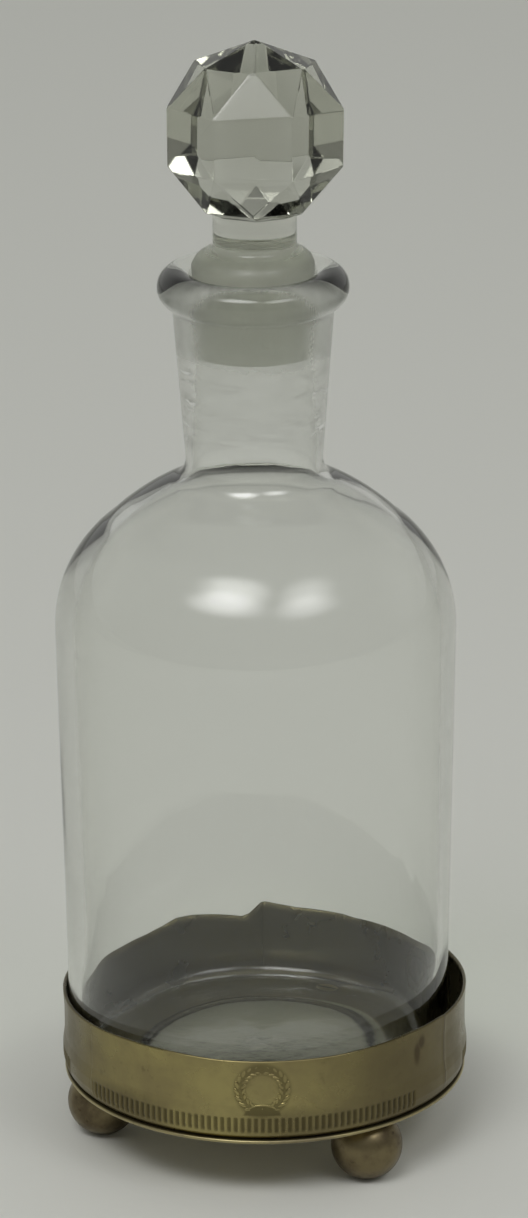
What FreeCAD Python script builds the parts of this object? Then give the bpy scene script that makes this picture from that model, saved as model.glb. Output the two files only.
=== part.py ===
import FreeCAD, Part

import math
import os

import Sketcher

# A clear glass bottle with a ground, facet-cut stopper, standing in a brass holder on three ball feet.
# Millimetres, +Z up, origin on the ground at the holder's axis, front towards -Y.
# Heights are above the ground. Radii are from the piece's own axis.

SIZES = {
    # Ball feet, equally spaced round the holder.
    "FootRadius": 5.7,
    "FootSoleRadius": 1.06,
    "FootSeatRadius": 3.07,
    "FootCircleRadius": 26.4,
    "FootHoleFloor": 5.0,
    # Base plate and its countersunk slotted screws.
    "PlateUnderside": 10.4,
    "PlateTop": 11.4,
    "PlateRadius": 32.7,
    "PlateEdgeBevel": 0.25,
    "ScrewRadius": 1.25,
    "ScrewHeadRadius": 2.05,
    "ScrewHeadHeight": 0.8,
    "ScrewTip": 5.6,
    "SlotHalfWidth": 0.3,
    "SlotDepth": 0.35,
    "SlotReach": 3.0,
    # Band of three stamped strips, outside line; the strips' thickness is BandWall.
    "BandWall": 0.5,
    "BandFootRadius": 31.5,
    "BandHeelRadius": 32.55,
    "BandHeelHeight": 13.4,
    "BandBeadRadius": 32.6,
    "BandBeadHeight": 15.2,
    "BandWaistRadius": 32.35,
    "BandWaistLow": 17.4,
    "BandWaistHigh": 22.4,
    "BandRimRadius": 32.6,
    "BandRimHeight": 25.7,
    "BandHeelBend": 2.6,
    "StripAngle": 119.9,
    "StripCutRadius": 40.0,
    "StripCutHeight": 40.0,
    # The rim is not level, and steps down beside the joint at the back.
    "RimLowSide": 24.6,
    "RimHighSide": 25.8,
    "RimReach": 36.0,
    "RimClear": 30.0,
    "LapNear": 0.95,
    "LapFar": 16.3,
    "LapDrop": 22.7,
    "LapFade": 24.4,
    # Bottle, outside line.
    "BottleOffset": 1.0,
    "BottleSeat": 11.5,
    "PuntHeight": 12.4,
    "PuntRadius": 17.5,
    "SeatInnerRadius": 20.5,
    "SeatRadius": 26.0,
    "HeelRadius": 30.4,
    "HeelHeight": 16.0,
    "HeelBend": 4.46,
    "WallTopRadius": 31.7,
    "WallTopHeight": 85.8,
    "ShoulderRadius": 23.46,
    "ShoulderHeight": 102.8,
    "ShoulderBend": 21.2,
    "CrownRadius": 12.3,
    "CrownHeight": 110.3,
    "CrownBend": 37.5,
    "NeckRadius": 10.75,
    "NeckHeight": 113.9,
    "NeckBend": 4.2,
    "NeckTopRadius": 12.6,
    "NeckTopHeight": 138.2,
    "LipRadius": 11.8,
    "LipHeight": 144.3,
    "LipBend": 3.1,
    "MouthRadius": 9.6,
    "MouthHeight": 143.4,
    "MouthBend": 2.6,
    # Bottle, inside line.
    "BoreFootRadius": 8.93,
    "BoreFootHeight": 131.0,
    "ThroatRadius": 9.4,
    "ThroatHeight": 113.6,
    "ThroatBend": 5.4,
    "InnerCrownRadius": 12.18,
    "InnerCrownHeight": 108.8,
    "InnerShoulderRadius": 21.8,
    "InnerShoulderHeight": 101.6,
    "InnerCrownBend": 44.0,
    "InnerShoulderBend": 22.5,
    "InnerWallTopRadius": 28.9,
    "InnerWallTopHeight": 85.8,
    "InnerHeelRadius": 28.0,
    "InnerHeelHeight": 17.6,
    "FloorRadius": 25.0,
    "FloorHeight": 14.6,
    "FloorBend": 3.02,
    "FloorMiddleHeight": 16.4,
    # Stopper: plug, shoulder and shank in one line, then the cut ball.
    "PlugGap": 0.05,
    "PlugFoot": 131.2,
    "PlugTopRadius": 9.55,
    "PlugTopHeight": 144.2,
    "CollarRadius": 9.3,
    "CollarHeight": 145.4,
    "ShankRadius": 6.5,
    "ShankFoot": 147.9,
    "ShankTop": 154.0,
    "BallHeight": 165.4,
    "BallRadius": 14.6,
    "BallLean": 3.5,
    "BallSides": 7,
    "BeltReach": 12.6,
    "TriangleReach": 13.34,
    "TriangleSlope": 25.1,
    "KiteReach": 13.71,
    "KiteSlope": 39.1,
    "CapReach": 13.63,
    "CapSlope": 68.0,
    "CutDepth": 8.0,
    "CutHalfWidth": 20.0,
}

# Foot positions as angles from the front, towards +X.
FOOT_ANGLES = {"left": -82.5, "right": 37.5, "back": 157.5}

# Where each strip of the band starts, as angles from the front, towards +X.
STRIP_STARTS = {"front": -58.3, "right": 61.7, "left": 181.7}

# Facet tiers of the ball: name, turn of the cut in its plane, reach. The plane holds the axis, a turn of
# 0 is level towards the front and 180 level towards the back. A back cut of seven lies half a step round.
FACET_TIERS = (
    ("belt", "0", "BeltReach"),
    ("upper_triangle", "TriangleSlope", "TriangleReach"),
    ("upper_kite", "180 - KiteSlope", "KiteReach"),
    ("upper_cap", "180 - CapSlope", "CapReach"),
    ("lower_triangle", "- TriangleSlope", "TriangleReach"),
    ("lower_kite", "180 + KiteSlope", "KiteReach"),
    ("lower_cap", "180 + CapSlope", "CapReach"),
)


def bound(words):
    """The sheet expression for a sum of names, such as 'MouthRadius - PlugGap'."""
    parts = [word if word in "+-" or word.isdigit() else "Sizes." + word for word in words.split()]
    return " ".join(parts)


def amount(words):
    """The value of such a sum, used as a sketch's starting guess."""
    total = 0.0
    sign = 1.0
    for word in words.split():
        if word in "+-":
            sign = 1.0 if word == "+" else -1.0
        else:
            total += sign * (float(word) if word.isdigit() else SIZES[word])
    return total


def make_sheet(doc):
    """Writes the spreadsheet of driving dimensions, one named cell a row."""
    sheet = doc.addObject("Spreadsheet::Sheet", "Sizes")
    for row, (name, value) in enumerate(SIZES.items(), start=1):
        sheet.set("A%d" % row, name)
        sheet.set("B%d" % row, str(value))
        sheet.setAlias("B%d" % row, name)
    doc.recompute()


def origin_plane(body, role):
    """One of the body's own origin planes or axes, by its role."""
    return next(item for item in body.Origin.OriginFeatures if item.Role == role)


def new_sketch(body, name, role):
    """An empty sketch on one of the body's origin planes."""
    sketch = body.newObject("Sketcher::SketchObject", name)
    sketch.AttachmentSupport = [(origin_plane(body, role), "")]
    sketch.MapMode = "FlatFace"
    return sketch


def arc_between(start, end, bend):
    """The arc from start to end; a positive bend turns anticlockwise, a negative one clockwise."""
    middle = (start + end) * 0.5
    chord = end - start
    rise = math.sqrt(max(bend * bend - chord.Length ** 2 / 4.0, 0.0))
    left = FreeCAD.Vector(-chord.y, chord.x, 0).normalize()
    centre = middle + left * math.copysign(rise, bend)
    first, last = (start, end) if bend > 0 else (end, start)
    angles = [math.atan2(point.y - centre.y, point.x - centre.x) for point in (first, last)]
    circle = Part.Circle(centre, FreeCAD.Vector(0, 0, 1), abs(bend))
    return Part.ArcOfCircle(circle, angles[0], angles[1])


def constrain(sketch, words, kind, *where):
    """Adds a dimension whose value follows the sheet."""
    index = sketch.addConstraint(Sketcher.Constraint(kind, *where, abs(amount(words)) if kind == "Radius"
                                                     else amount(words)))
    sketch.setExpression("Constraints[%d]" % index, bound(words))


def pin_corner(sketch, edge, end, corner):
    """Ties an edge's end to its place: an empty name puts it on that axis."""
    axis_of = {"DistanceX": -2, "DistanceY": -1}
    for kind, words in zip(("DistanceX", "DistanceY"), corner[:2]):
        if words:
            constrain(sketch, words, kind, -1, 1, edge, end)
        else:
            sketch.addConstraint(Sketcher.Constraint("PointOnObject", edge, end, axis_of[kind]))


def draw_outline(sketch, corners):
    """A closed outline. A corner is (across, up), or (across, up, bend) where an arc leads to it."""
    places = [FreeCAD.Vector(amount(corner[0]), amount(corner[1]), 0) for corner in corners]
    count = len(corners)
    ends = []
    for index, start in enumerate(places):
        target = (index + 1) % count
        bend = corners[target][2] if len(corners[target]) > 2 else ""
        if bend:
            sketch.addGeometry(arc_between(start, places[target], amount(bend)), False)
        else:
            sketch.addGeometry(Part.LineSegment(start, places[target]), False)
        ends.append((2, 1) if bend.startswith("-") else (1, 2))
    for index in range(count):
        following = (index + 1) % count
        joined = (index, ends[index][1], following, ends[following][0])
        sketch.addConstraint(Sketcher.Constraint("Coincident", *joined))
    for index, corner in enumerate(corners):
        pin_corner(sketch, index, ends[index][0], corner)
    for index in range(count):
        corner = corners[(index + 1) % count]
        if len(corner) > 2:
            constrain(sketch, corner[2].lstrip("- "), "Radius", index)


def turned_body(doc, name, corners):
    """A body turned about Z from an outline in its XZ plane."""
    body = doc.addObject("PartDesign::Body", name)
    body.Label = name
    sketch = new_sketch(body, name + "_outline", "XZ_Plane")
    draw_outline(sketch, corners)
    doc.recompute()
    turned = body.newObject("PartDesign::Revolution", name + "_turned")
    turned.Profile = sketch
    turned.ReferenceAxis = (sketch, ["V_Axis"])
    turned.Angle = 360.0
    sketch.Visibility = False
    doc.recompute()
    return body


def cut_pocket(doc, body, name, sketch, depth, both_sides=False, flipped=False):
    """A pocket through a sketch, checked to take material away."""
    before = body.Shape.Volume
    pocket = body.newObject("PartDesign::Pocket", name)
    pocket.Profile = sketch
    pocket.Length = amount(depth)
    pocket.setExpression("Length", bound(depth))
    pocket.Midplane = both_sides
    pocket.Reversed = flipped
    sketch.Visibility = False
    doc.recompute()
    if body.Shape.Volume >= before:
        raise RuntimeError(name + " cuts nothing")
    return pocket


def round_the_axis(doc, body, name, features, count):
    """A polar pattern of the features about the body's Z axis."""
    pattern = body.newObject("PartDesign::PolarPattern", name)
    pattern.Originals = features
    pattern.Axis = (origin_plane(body, "Z_Axis"), [""])
    pattern.Angle = 360.0
    pattern.Occurrences = count
    body.Tip = pattern
    doc.recompute()
    return pattern


def from_front(angle):
    """The turn about Z that brings the +X side to an angle counted from the front."""
    return FreeCAD.Rotation(FreeCAD.Vector(0, 0, 1), angle - 90.0)


def foot_place(angle):
    """The point on the ground under a foot's middle."""
    return from_front(angle).multVec(FreeCAD.Vector(SIZES["FootCircleRadius"], 0, 0))


def make_foot(doc, side, angle):
    """A ball foot, flattened where it meets the plate, with a blind hole for its screw."""
    foot = turned_body(doc, "foot_" + side, [
        ("ScrewRadius", "PlateUnderside"),
        ("FootSeatRadius", "PlateUnderside"),
        ("FootSoleRadius", "", "- FootRadius"),
        ("", ""),
        ("", "FootHoleFloor"),
        ("ScrewRadius", "FootHoleFloor"),
    ])
    foot.Placement = FreeCAD.Placement(foot_place(angle), FreeCAD.Rotation())
    return foot


def make_screw(doc, side, angle):
    """A countersunk slotted screw, its head flush with the plate."""
    name = "foot_screw_" + side
    screw = turned_body(doc, name, [
        ("", "ScrewTip"),
        ("ScrewRadius", "ScrewTip"),
        ("ScrewRadius", "PlateTop - ScrewHeadHeight"),
        ("ScrewHeadRadius", "PlateTop"),
        ("", "PlateTop"),
    ])
    slot = new_sketch(screw, name + "_slot_line", "XZ_Plane")
    draw_outline(slot, [
        ("- SlotHalfWidth", "PlateTop - SlotDepth"),
        ("SlotHalfWidth", "PlateTop - SlotDepth"),
        ("SlotHalfWidth", "PlateTop + SlotDepth"),
        ("- SlotHalfWidth", "PlateTop + SlotDepth"),
    ])
    cut_pocket(doc, screw, name + "_slot", slot, "SlotReach + SlotReach", both_sides=True)
    screw.Placement = FreeCAD.Placement(foot_place(angle), from_front(angle))
    return screw


def make_base_plate(doc):
    """The disc that closes the holder, with a countersunk hole over each foot."""
    plate = turned_body(doc, "base_plate", [
        ("", "PlateUnderside"),
        ("PlateRadius - PlateEdgeBevel", "PlateUnderside"),
        ("PlateRadius", "PlateUnderside + PlateEdgeBevel"),
        ("PlateRadius", "PlateTop - PlateEdgeBevel"),
        ("PlateRadius - PlateEdgeBevel", "PlateTop"),
        ("", "PlateTop"),
    ])
    hole_line = new_sketch(plate, "base_plate_hole_line", "XZ_Plane")
    draw_outline(hole_line, [
        ("FootCircleRadius", "PlateUnderside - ScrewHeadHeight"),
        ("FootCircleRadius + ScrewRadius", "PlateUnderside - ScrewHeadHeight"),
        ("FootCircleRadius + ScrewRadius", "PlateTop - ScrewHeadHeight"),
        ("FootCircleRadius + ScrewHeadRadius", "PlateTop"),
        ("FootCircleRadius", "PlateTop"),
    ])
    doc.recompute()
    before = plate.Shape.Volume
    hole = plate.newObject("PartDesign::Groove", "base_plate_hole")
    hole.Profile = hole_line
    hole.ReferenceAxis = (hole_line, ["Edge5"])
    hole.Angle = 360.0
    hole_line.Visibility = False
    doc.recompute()
    if plate.Shape.Volume >= before:
        raise RuntimeError("base_plate_hole cuts nothing")
    round_the_axis(doc, plate, "base_plate_holes", [hole], len(FOOT_ANGLES))
    plate.Placement = FreeCAD.Placement(FreeCAD.Vector(), from_front(FOOT_ANGLES["left"]))
    return plate


def make_band_blank(doc):
    """The whole band: curled in below, a bead, a faint waist and a flared rim, with the rim's own faults."""
    band = turned_body(doc, "band_blank", [
        ("BandFootRadius - BandWall", "PlateTop"),
        ("BandFootRadius", "PlateTop"),
        ("BandHeelRadius", "BandHeelHeight", "BandHeelBend"),
        ("BandBeadRadius", "BandBeadHeight"),
        ("BandWaistRadius", "BandWaistLow"),
        ("BandWaistRadius", "BandWaistHigh"),
        ("BandRimRadius", "BandRimHeight"),
        ("BandRimRadius - BandWall", "BandRimHeight"),
        ("BandWaistRadius - BandWall", "BandWaistHigh"),
        ("BandWaistRadius - BandWall", "BandWaistLow"),
        ("BandBeadRadius - BandWall", "BandBeadHeight"),
        ("BandHeelRadius - BandWall", "BandHeelHeight"),
    ])
    tilt = new_sketch(band, "band_rim_line", "XZ_Plane")
    draw_outline(tilt, [
        ("- RimReach", "RimLowSide"),
        ("RimReach", "RimHighSide"),
        ("RimReach", "RimClear"),
        ("- RimReach", "RimClear"),
    ])
    cut_pocket(doc, band, "band_rim", tilt, "RimReach + RimReach", both_sides=True)
    lap = new_sketch(band, "band_lap_line", "XZ_Plane")
    draw_outline(lap, [
        ("- LapFar", "LapFade"),
        ("- LapNear", "LapDrop"),
        ("- LapNear", "RimClear"),
        ("- LapFar", "RimClear"),
    ])
    cut_pocket(doc, band, "band_lap", lap, "RimReach")
    return band


def make_strip(doc, blank, side, start):
    """One strip of the band: the part of it inside a wedge that opens from the start angle."""
    wedge = doc.addObject("Part::Cylinder", "strip_wedge_" + side)
    wedge.setExpression("Radius", "Sizes.StripCutRadius")
    wedge.setExpression("Height", "Sizes.StripCutHeight")
    wedge.setExpression("Angle", "Sizes.StripAngle")
    wedge.Placement = FreeCAD.Placement(FreeCAD.Vector(), from_front(start))
    strip = doc.addObject("Part::Common", "band_" + side)
    strip.Label = "band_" + side
    strip.Base = blank
    strip.Tool = wedge
    doc.recompute()
    return strip


def make_band(doc):
    """The band as the three strips that are soldered end to end."""
    blank = make_band_blank(doc)
    return [make_strip(doc, blank, side, start) for side, start in STRIP_STARTS.items()]


def make_bottle(doc):
    """The blown bottle: pushed-up foot, tapered wall, round shoulder, flared neck and rolled lip."""
    bottle = turned_body(doc, "bottle", [
        ("", "PuntHeight"),
        ("PuntRadius", "PuntHeight"),
        ("SeatInnerRadius", "BottleSeat"),
        ("SeatRadius", "BottleSeat"),
        ("HeelRadius", "HeelHeight", "HeelBend"),
        ("WallTopRadius", "WallTopHeight"),
        ("ShoulderRadius", "ShoulderHeight", "ShoulderBend"),
        ("CrownRadius", "CrownHeight", "CrownBend"),
        ("NeckRadius", "NeckHeight", "- NeckBend"),
        ("NeckTopRadius", "NeckTopHeight"),
        ("LipRadius", "LipHeight", "LipBend"),
        ("MouthRadius", "MouthHeight", "MouthBend"),
        ("BoreFootRadius", "BoreFootHeight"),
        ("ThroatRadius", "ThroatHeight"),
        ("InnerCrownRadius", "InnerCrownHeight", "ThroatBend"),
        ("InnerShoulderRadius", "InnerShoulderHeight", "- InnerCrownBend"),
        ("InnerWallTopRadius", "InnerWallTopHeight", "- InnerShoulderBend"),
        ("InnerHeelRadius", "InnerHeelHeight"),
        ("FloorRadius", "FloorHeight", "- FloorBend"),
        ("", "FloorMiddleHeight"),
    ])
    bottle.Placement = FreeCAD.Placement(FreeCAD.Vector(-SIZES["BottleOffset"], 0, 0), FreeCAD.Rotation())
    return bottle


def make_stem(doc):
    """The ground plug, its sloping shoulder and the shank that runs up into the ball."""
    return turned_body(doc, "stopper_stem", [
        ("", "PlugFoot"),
        ("BoreFootRadius - PlugGap", "PlugFoot"),
        ("PlugTopRadius", "PlugTopHeight"),
        ("CollarRadius", "CollarHeight"),
        ("ShankRadius", "ShankFoot"),
        ("ShankRadius", "ShankTop"),
        ("", "ShankTop"),
    ])


def make_ball(doc):
    """The facet-cut ball about its own centre: a belt, and triangles, kites and a cap each way."""
    ball = doc.addObject("PartDesign::Body", "stopper_ball")
    sphere = ball.newObject("PartDesign::AdditiveSphere", "stopper_ball_blank")
    sphere.setExpression("Radius", "Sizes.BallRadius")
    doc.recompute()
    cuts = []
    for tier, turn, reach in FACET_TIERS:
        line = new_sketch(ball, "stopper_%s_line" % tier, "XZ_Plane")
        line.setExpression("AttachmentOffset.Rotation.Angle", bound(turn))
        draw_outline(line, [
            (reach, "- CutHalfWidth"),
            (reach + " + CutDepth", "- CutHalfWidth"),
            (reach + " + CutDepth", "CutHalfWidth"),
            (reach, "CutHalfWidth"),
        ])
        cuts.append(cut_pocket(doc, ball, "stopper_" + tier, line, "CutHalfWidth + CutHalfWidth", True))
    round_the_axis(doc, ball, "stopper_facets", cuts, SIZES["BallSides"])
    turn = FreeCAD.Rotation(FreeCAD.Vector(1, 0, 0), -SIZES["BallLean"]).multiply(from_front(0.0))
    ball.Placement = FreeCAD.Placement(FreeCAD.Vector(0, 0, SIZES["BallHeight"]), turn)
    return ball


def make_stopper(doc):
    """Stem and ball as the one piece of glass they are."""
    stopper = doc.addObject("Part::Fuse", "stopper")
    stopper.Label = "stopper"
    stopper.Base = make_stem(doc)
    stopper.Tool = make_ball(doc)
    doc.recompute()
    stopper.Placement = FreeCAD.Placement(FreeCAD.Vector(-SIZES["BottleOffset"], 0, 0), FreeCAD.Rotation())
    return stopper


def check_document(doc, nodes):
    """Stops on any failed object or unsound shape."""
    for item in doc.Objects:
        if "Invalid" in item.State or "Error" in item.State:
            raise RuntimeError("%s failed: %s" % (item.Label, item.State))
    for node in nodes:
        if node.Shape.isNull() or not node.Shape.isValid() or not node.Shape.Solids:
            raise RuntimeError(node.Label + " has no sound solid")


def main():
    """Builds every sub-part, checks it and writes its STEP file."""
    doc = FreeCAD.newDocument("bottle_in_holder")
    make_sheet(doc)
    nodes = []
    for side, angle in FOOT_ANGLES.items():
        nodes += [make_foot(doc, side, angle), make_screw(doc, side, angle)]
    nodes += make_band(doc)
    nodes += [make_base_plate(doc), make_bottle(doc), make_stopper(doc)]
    doc.recompute()
    check_document(doc, nodes)
    os.makedirs("parts", exist_ok=True)
    for node in nodes:
        box = node.Shape.BoundBox
        print("%-18s volume %9.1f  x %6.2f..%6.2f  y %6.2f..%6.2f  z %6.2f..%6.2f" % (
            node.Label, node.Shape.Volume, box.XMin, box.XMax, box.YMin, box.YMax, box.ZMin, box.ZMax))
        node.Shape.exportStep("parts/%s.step" % node.Label)


main()
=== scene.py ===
"""A clear glass bottle with a facet-cut stopper, standing in a stamped brass holder on three ball feet."""

import logging
import math
import random
from dataclasses import dataclass, field
from enum import Enum
from typing import Callable, Iterable, Optional, Sequence

import bmesh
import bpy
import numpy as np
from mathutils import Matrix, Vector


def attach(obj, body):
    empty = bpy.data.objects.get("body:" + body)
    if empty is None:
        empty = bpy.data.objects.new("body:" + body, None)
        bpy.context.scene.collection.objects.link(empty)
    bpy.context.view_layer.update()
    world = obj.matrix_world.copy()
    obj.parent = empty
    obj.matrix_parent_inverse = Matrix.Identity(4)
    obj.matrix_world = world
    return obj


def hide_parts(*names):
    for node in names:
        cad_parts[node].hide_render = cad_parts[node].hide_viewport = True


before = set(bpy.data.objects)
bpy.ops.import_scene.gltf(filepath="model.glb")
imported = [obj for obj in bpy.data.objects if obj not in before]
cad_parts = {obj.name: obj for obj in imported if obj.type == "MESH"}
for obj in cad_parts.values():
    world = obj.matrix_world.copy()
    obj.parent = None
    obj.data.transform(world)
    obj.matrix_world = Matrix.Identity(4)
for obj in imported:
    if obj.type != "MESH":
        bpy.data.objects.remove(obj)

log = logging.getLogger("bottle_in_holder")

MM = 0.001
GRAIN_RADIUS = 0.033  # metres; turns an angle round the holder into a length
LIGHTS_AIM = 0.08  # metres above the floor
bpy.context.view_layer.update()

Step = tuple  # (radius, height) or (radius, height, bend), in millimetres
Colour = tuple[float, float, float]


class Body(str, Enum):
    """The bodies that pieces ride on."""

    HOLDER = "holder"
    BOTTLE = "bottle"
    STOPPER = "stopper"


class Slot(str, Enum):
    """The material slots."""

    BOTTLE_GLASS = "bottle_glass"
    STOPPER_GLASS = "stopper_glass"
    HOLDER_BRASS = "holder_brass"
    FOOT_BRASS = "foot_brass"
    SCREW_BRASS = "screw_brass"


# ---------------------------------------------------------------------------------------------------
# Lines and meshes
# ---------------------------------------------------------------------------------------------------


def arc_points(start: Vector, end: Vector, bend: float, spacing: float) -> list[tuple[float, float]]:
    """Points along an arc, without its first.

    Args:
        start: The arc's first point, as (radius, height).
        end: Its last point.
        bend: Its radius; positive turns anticlockwise, negative clockwise.
        spacing: The longest step between points.

    Returns:
        The points after start, up to end.
    """
    chord = end - start
    rise = math.sqrt(max(bend * bend - chord.length_squared / 4.0, 0.0))
    left = Vector((-chord.y, chord.x)).normalized()
    centre = (start + end) * 0.5 + left * math.copysign(rise, bend)
    first = math.atan2(start.y - centre.y, start.x - centre.x)
    last = math.atan2(end.y - centre.y, end.x - centre.x)
    sweep = (last - first) % math.tau if bend > 0 else -((first - last) % math.tau)
    count = max(2, math.ceil(abs(sweep * bend) / spacing))
    angles = [first + sweep * index / count for index in range(1, count + 1)]
    reach = abs(bend)
    return [(centre.x + reach * math.cos(angle), centre.y + reach * math.sin(angle)) for angle in angles]


def trace(steps: Sequence[Step], spacing: float) -> np.ndarray:
    """Samples an outline of straight runs and arcs.

    Args:
        steps: Corners as (radius, height), or (radius, height, bend) where an arc leads to the corner.
        spacing: The longest step between samples.

    Returns:
        An array of (radius, height) rows.
    """
    points = [tuple(steps[0][:2])]
    for step in steps[1:]:
        start, end = Vector(points[-1]), Vector(step[:2])
        if len(step) > 2:
            points += arc_points(start, end, step[2], spacing)
            continue
        count = max(1, math.ceil((end - start).length / spacing))
        points += [tuple(start.lerp(end, index / count)) for index in range(1, count + 1)]
    return np.array(points)


def mesh_object(name: str, vertices: Iterable, faces: Iterable, smooth: bool = True) -> bpy.types.Object:
    """A mesh object in the scene, at the origin.

    Args:
        name: The piece's name.
        vertices: Points in metres.
        faces: Lists of vertex indices.
        smooth: Whether its faces are smooth.

    Returns:
        The new object.
    """
    mesh = bpy.data.meshes.new(name)
    mesh.from_pydata([tuple(point) for point in vertices], [], [tuple(face) for face in faces])
    mesh.polygons.foreach_set("use_smooth", [smooth] * len(mesh.polygons))
    mesh.update()
    made = bpy.data.objects.new(name, mesh)
    bpy.context.scene.collection.objects.link(made)
    return made


def outward(piece: bpy.types.Object) -> None:
    """Turns the faces of a closed mesh outward."""
    work = bmesh.new()
    work.from_mesh(piece.data)
    bmesh.ops.recalc_face_normals(work, faces=work.faces)
    work.to_mesh(piece.data)
    work.free()


def turned(
    name: str,
    line: np.ndarray,
    segments: int,
    centre: tuple[float, float] = (0.0, 0.0),
    nudge: Optional[Callable] = None,
) -> bpy.types.Object:
    """A closed shape turned about an upright axis.

    Args:
        name: The piece's name.
        line: (radius, height) rows in millimetres, starting and ending on the axis.
        segments: Steps round the axis.
        centre: Where the axis stands, in millimetres.
        nudge: Moves the grid of points; takes (angle, x, y, z) arrays and gives new x, y, z.

    Returns:
        The piece, in metres.
    """
    inner = line[1:-1]
    angle = np.linspace(0.0, math.tau, segments, endpoint=False)[None, :]
    x = inner[:, :1] * np.sin(angle)
    y = -inner[:, :1] * np.cos(angle)
    z = np.repeat(inner[:, 1:], segments, axis=1)
    if nudge:
        x, y, z = nudge(np.repeat(angle, len(inner), axis=0), x, y, z)
    grid = np.stack([x + centre[0], y + centre[1], z], axis=-1).reshape(-1, 3)
    poles = np.array([[*centre, z[end].mean() + line[end, 1] - inner[end, 1]] for end in (0, -1)])
    vertices = np.vstack([grid, poles]) * MM
    rows = len(inner)
    low, high = rows * segments, rows * segments + 1
    faces = []
    for row in range(rows - 1):
        base, above = row * segments, (row + 1) * segments
        for k in range(segments):
            beside = (k + 1) % segments
            faces.append((base + k, base + beside, above + beside, above + k))
    last = (rows - 1) * segments
    faces += [(low, (k + 1) % segments, k) for k in range(segments)]
    faces += [(high, last + k, last + (k + 1) % segments) for k in range(segments)]
    piece = mesh_object(name, vertices, faces)
    outward(piece)
    return piece


def paint(piece: bpy.types.Object, name: str, values: Iterable[float]) -> None:
    """Stores one number a vertex, for the finish to read."""
    layer = piece.data.attributes.new(name, "FLOAT", "POINT")
    layer.data.foreach_set("value", np.asarray(list(values), dtype=np.float32))


def numbers_of(piece: bpy.types.Object, name: str) -> np.ndarray:
    """Numbers stored on a piece, one a vertex."""
    values = np.zeros(len(piece.data.vertices), dtype=np.float32)
    piece.data.attributes[name].data.foreach_get("value", values)
    return values


def points_of(piece: bpy.types.Object) -> np.ndarray:
    """A piece's vertices in millimetres, one a row."""
    flat = np.empty(len(piece.data.vertices) * 3)
    piece.data.vertices.foreach_get("co", flat)
    return flat.reshape(-1, 3) / MM


def ramp(values: np.ndarray, low: float, high: float) -> np.ndarray:
    """A smooth step from 0 at low to 1 at high."""
    part = np.clip((values - low) / (high - low), 0.0, 1.0)
    return part * part * (3.0 - 2.0 * part)


def between(values: np.ndarray, ends: Sequence[float]) -> np.ndarray:
    """1 inside a span and 0 outside; ends are where it starts to rise, is full, starts to fall, is gone."""
    start, full, falling, gone = ends
    return ramp(values, start, full) * (1.0 - ramp(values, falling, gone))


def waves(seed: int, count: int, highest: int, steepest: float = 0.09) -> Callable:
    """A soft random field round an upright shape.

    Args:
        seed: Fixes the draw.
        count: How many waves are added up.
        highest: The most times a wave repeats round the axis.
        steepest: The fastest a wave turns with height, in radians a millimetre.

    Returns:
        A function of (angle, height in mm) with values within about -1 and 1.
    """
    draw = random.Random(seed)
    terms = []
    for _ in range(count):
        turns, rise = draw.randint(1, highest), draw.uniform(-steepest, steepest)
        terms.append((turns, rise, draw.uniform(0, math.tau), draw.uniform(0.5, 1.0)))
    total = sum(size for *_, size in terms)

    def field_at(angle: np.ndarray, height: np.ndarray) -> np.ndarray:
        """Adds up the waves."""
        parts = [size * np.sin(turns * angle + rise * height + phase) for turns, rise, phase, size in terms]
        return sum(parts) / total

    return field_at


def plain_copy(source: bpy.types.Object, name: str) -> bpy.types.Object:
    """Turns a piece with modifiers into a plain mesh and removes the source.

    Args:
        source: The object whose evaluated mesh is kept.
        name: The new piece's name.

    Returns:
        The new piece, with no modifiers.
    """
    graph = bpy.context.evaluated_depsgraph_get()
    final = source.evaluated_get(graph)
    mesh = bpy.data.meshes.new_from_object(final, preserve_all_data_layers=True, depsgraph=graph)
    made = bpy.data.objects.new(name, mesh)
    mesh.name = name
    bpy.context.scene.collection.objects.link(made)
    bpy.data.objects.remove(source)
    return made


def joined_solid(name: str, base: bpy.types.Object, other: bpy.types.Object) -> bpy.types.Object:
    """Joins two closed shapes that overlap into one.

    Args:
        name: The result's name.
        base: One shape.
        other: The other shape.

    Returns:
        The result as a plain mesh; base and other are gone.
    """
    change = base.modifiers.new("join", "BOOLEAN")
    change.operation = "UNION"
    change.solver = "EXACT"
    change.object = other
    result = plain_copy(base, name)
    bpy.data.objects.remove(other)
    return result


# ---------------------------------------------------------------------------------------------------
# Shader parts
# ---------------------------------------------------------------------------------------------------


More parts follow.
